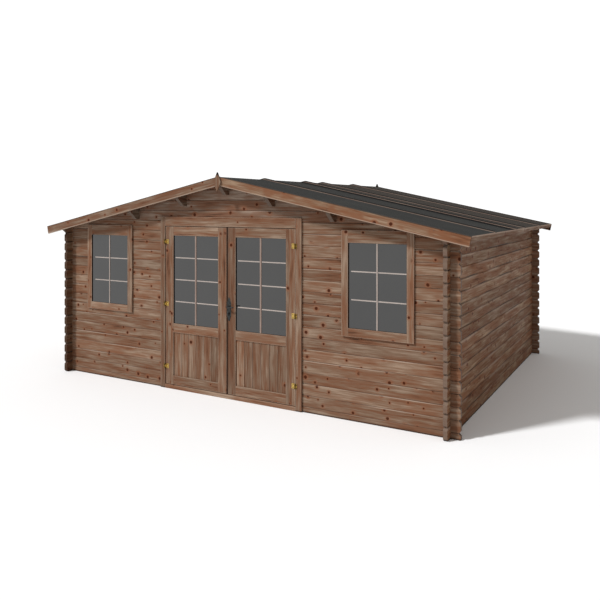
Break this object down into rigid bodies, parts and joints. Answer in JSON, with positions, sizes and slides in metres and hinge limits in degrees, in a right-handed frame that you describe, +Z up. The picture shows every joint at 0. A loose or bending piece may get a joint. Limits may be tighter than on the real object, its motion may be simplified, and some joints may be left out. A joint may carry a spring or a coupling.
{
  "type": "log cabin",
  "caption": "Single-room log cabin of interlocking logs with a low gable roof, a glazed double door that swings outward, a lever handle and fixed windows beside the door.",
  "frame": {"origin": "on the ground under the middle of the cabin's box", "axes": "+X to the right seen from the front, +Y to the rear, +Z up; the doors face -Y"},
  "size_m": [5.475, 4.3812, 2.4837],
  "materials": {
    "log_timber": "brown pressure-treated softwood, planed, matt",
    "trim_timber": "brown pressure-treated softwood, planed, matt",
    "felt": "charcoal mineral roofing felt, matt",
    "glass": "clear float glass",
    "brass": "yellow passivated, satin",
    "black_metal": "black painted, satin"
  },
  "bodies": {
    "cabin": {"front_logs_left": "log_timber", "front_logs_right": "log_timber", "front_gable_logs": "log_timber", "rear_wall_logs": "log_timber", "rear_gable_logs": "log_timber", "left_wall_logs": "log_timber", "right_wall_logs": "log_timber", "ridge_purlin": "log_timber", "side_purlins": "log_timber", "roof_boards_left": "trim_timber", "roof_boards_right": "trim_timber", "roof_felt_left": "felt", "roof_felt_right": "felt", "roof_battens_left": "trim_timber", "roof_battens_right": "trim_timber", "eave_strip_left": "trim_timber", "eave_strip_right": "trim_timber", "bargeboard_front_left": "trim_timber", "bargeboard_front_right": "trim_timber", "bargeboard_rear_left": "trim_timber", "bargeboard_rear_right": "trim_timber", "finial_front": "trim_timber", "finial_rear": "trim_timber", "door_jamb_left": "trim_timber", "door_jamb_right": "trim_timber", "door_head": "trim_timber", "door_stops": "trim_timber", "door_threshold": "trim_timber", "frame_hinges": "brass", "left_window_frame": "trim_timber", "left_window_glass": "glass", "right_window_frame": "trim_timber", "right_window_glass": "glass"},
    "left_leaf": {"left_leaf_frame": "trim_timber", "left_leaf_panel": "trim_timber", "left_leaf_glass": "glass", "left_leaf_hinges": "brass"},
    "right_leaf": {"right_leaf_frame": "trim_timber", "right_leaf_panel": "trim_timber", "right_leaf_glass": "glass", "right_leaf_hinges": "brass", "handle_plates": "black_metal"},
    "lever": {"handle_lever": "black_metal"}
  },
  "joints": [
    {"name": "left_door", "type": "hinge", "parent": "cabin", "child": "left_leaf", "pos_m": [-0.877, -2.0268, 0.98], "axis": [0, 0, -1], "range_deg": [0, 120]},
    {"name": "right_door", "type": "hinge", "parent": "cabin", "child": "right_leaf", "pos_m": [0.877, -2.0268, 0.98], "axis": [0, 0, 1], "range_deg": [0, 120]},
    {"name": "handle_turn", "type": "hinge", "parent": "right_leaf", "child": "lever", "pos_m": [0.033, -2.0123, 1.017], "axis": [0, 1, 0], "range_deg": [0, 40], "stiffness_Nm_per_rad": 2, "springref_deg": -17.19}
  ]
}
